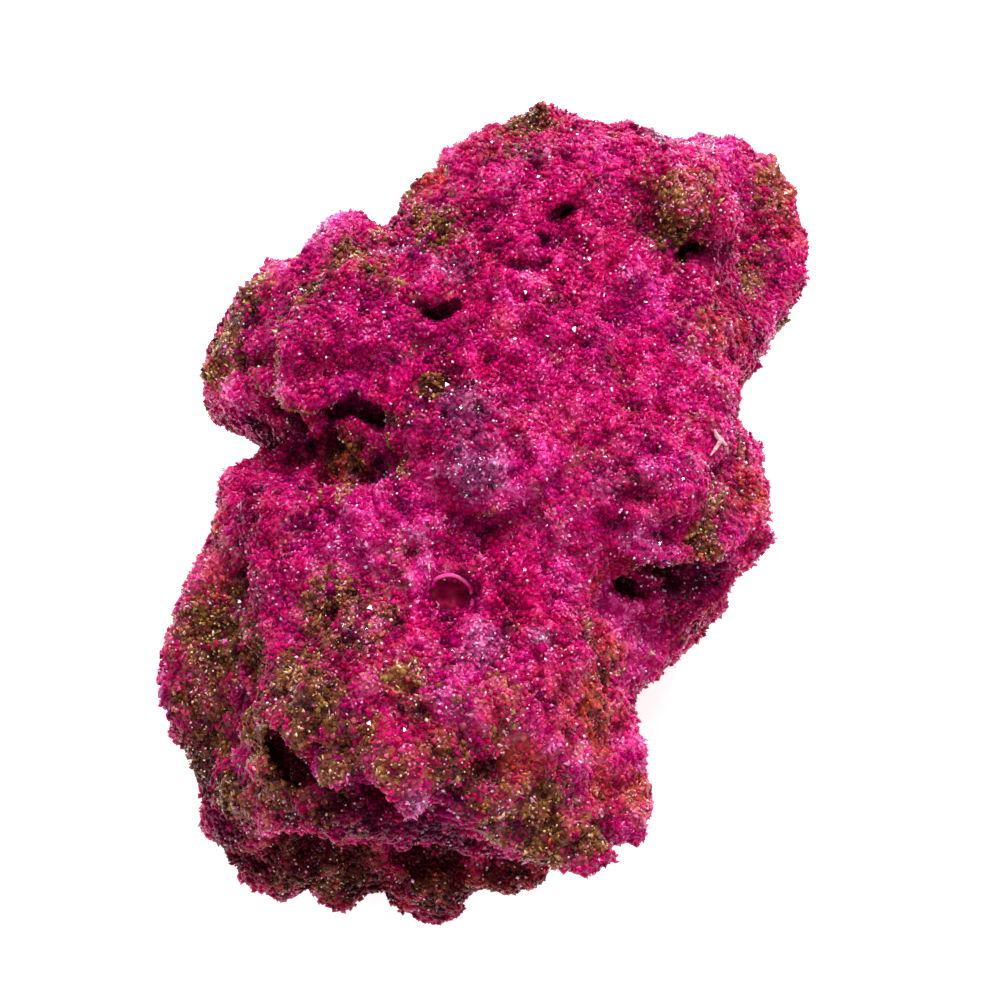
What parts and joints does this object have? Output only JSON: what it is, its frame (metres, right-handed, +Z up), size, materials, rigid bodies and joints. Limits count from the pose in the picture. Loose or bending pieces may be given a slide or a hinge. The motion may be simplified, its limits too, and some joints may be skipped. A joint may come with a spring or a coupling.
{
  "type": "ruby specimen",
  "caption": "Hand-sized rough mass of intergrown ruby-red crystals with pits, ledges and olive crust, lying on its back.",
  "frame": {"origin": "on the resting surface, under the middle of the specimen's box", "axes": "+Z up from the resting surface, through the best face; +Y along the specimen towards its narrow end; +X across it"},
  "size_m": [0.0972, 0.1204, 0.0557],
  "materials": {
    "ruby_druse": "glittering druse of small translucent ruby-red crystals with olive-brown crusts"
  },
  "bodies": {
    "root": {"ruby_specimen": "ruby_druse"}
  },
  "joints": []
}
